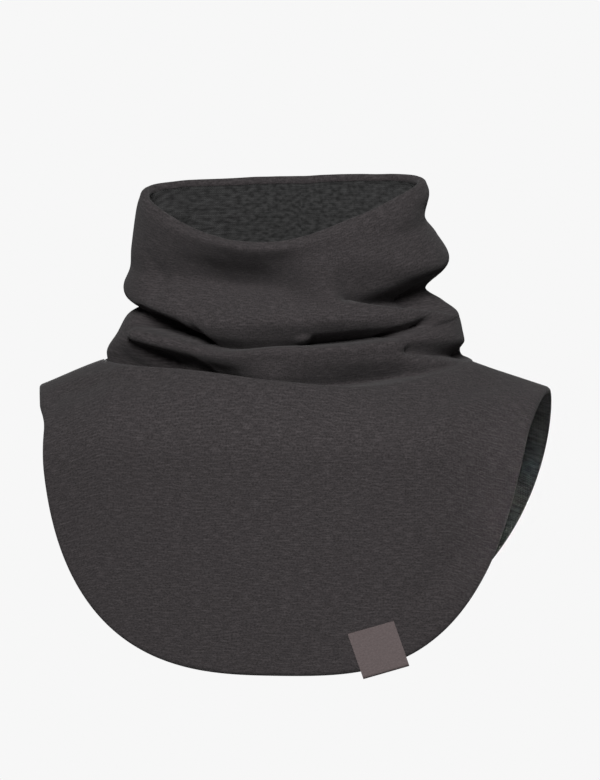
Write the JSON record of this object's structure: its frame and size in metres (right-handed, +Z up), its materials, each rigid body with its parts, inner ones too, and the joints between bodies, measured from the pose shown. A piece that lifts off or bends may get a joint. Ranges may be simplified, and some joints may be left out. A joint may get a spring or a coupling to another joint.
{
  "type": "neck warmer",
  "caption": "Soft jersey neck warmer: a tall slouched collar over a rounded front bib and a back bib, lined, with a small plain hem label.",
  "frame": {"origin": "middle of the neck, at the height of the seam between the collar and the bibs, where the warmer sits on a neck", "axes": "+Z up along the neck, the front bib faces -Y, +X to the right of someone who faces it"},
  "size_m": [0.282, 0.1642, 0.273],
  "materials": {
    "jersey": "brushed heathered jersey, dark brownish charcoal",
    "fleece": "ribbed fleece, dark neutral grey",
    "ribbon": "flat woven ribbon, matte taupe"
  },
  "bodies": {
    "root": {"collar": "jersey", "collar_lining": "fleece", "front_bib": "jersey", "front_lining": "fleece", "back_bib": "jersey", "back_lining": "fleece", "hem_label": "ribbon"}
  },
  "joints": []
}
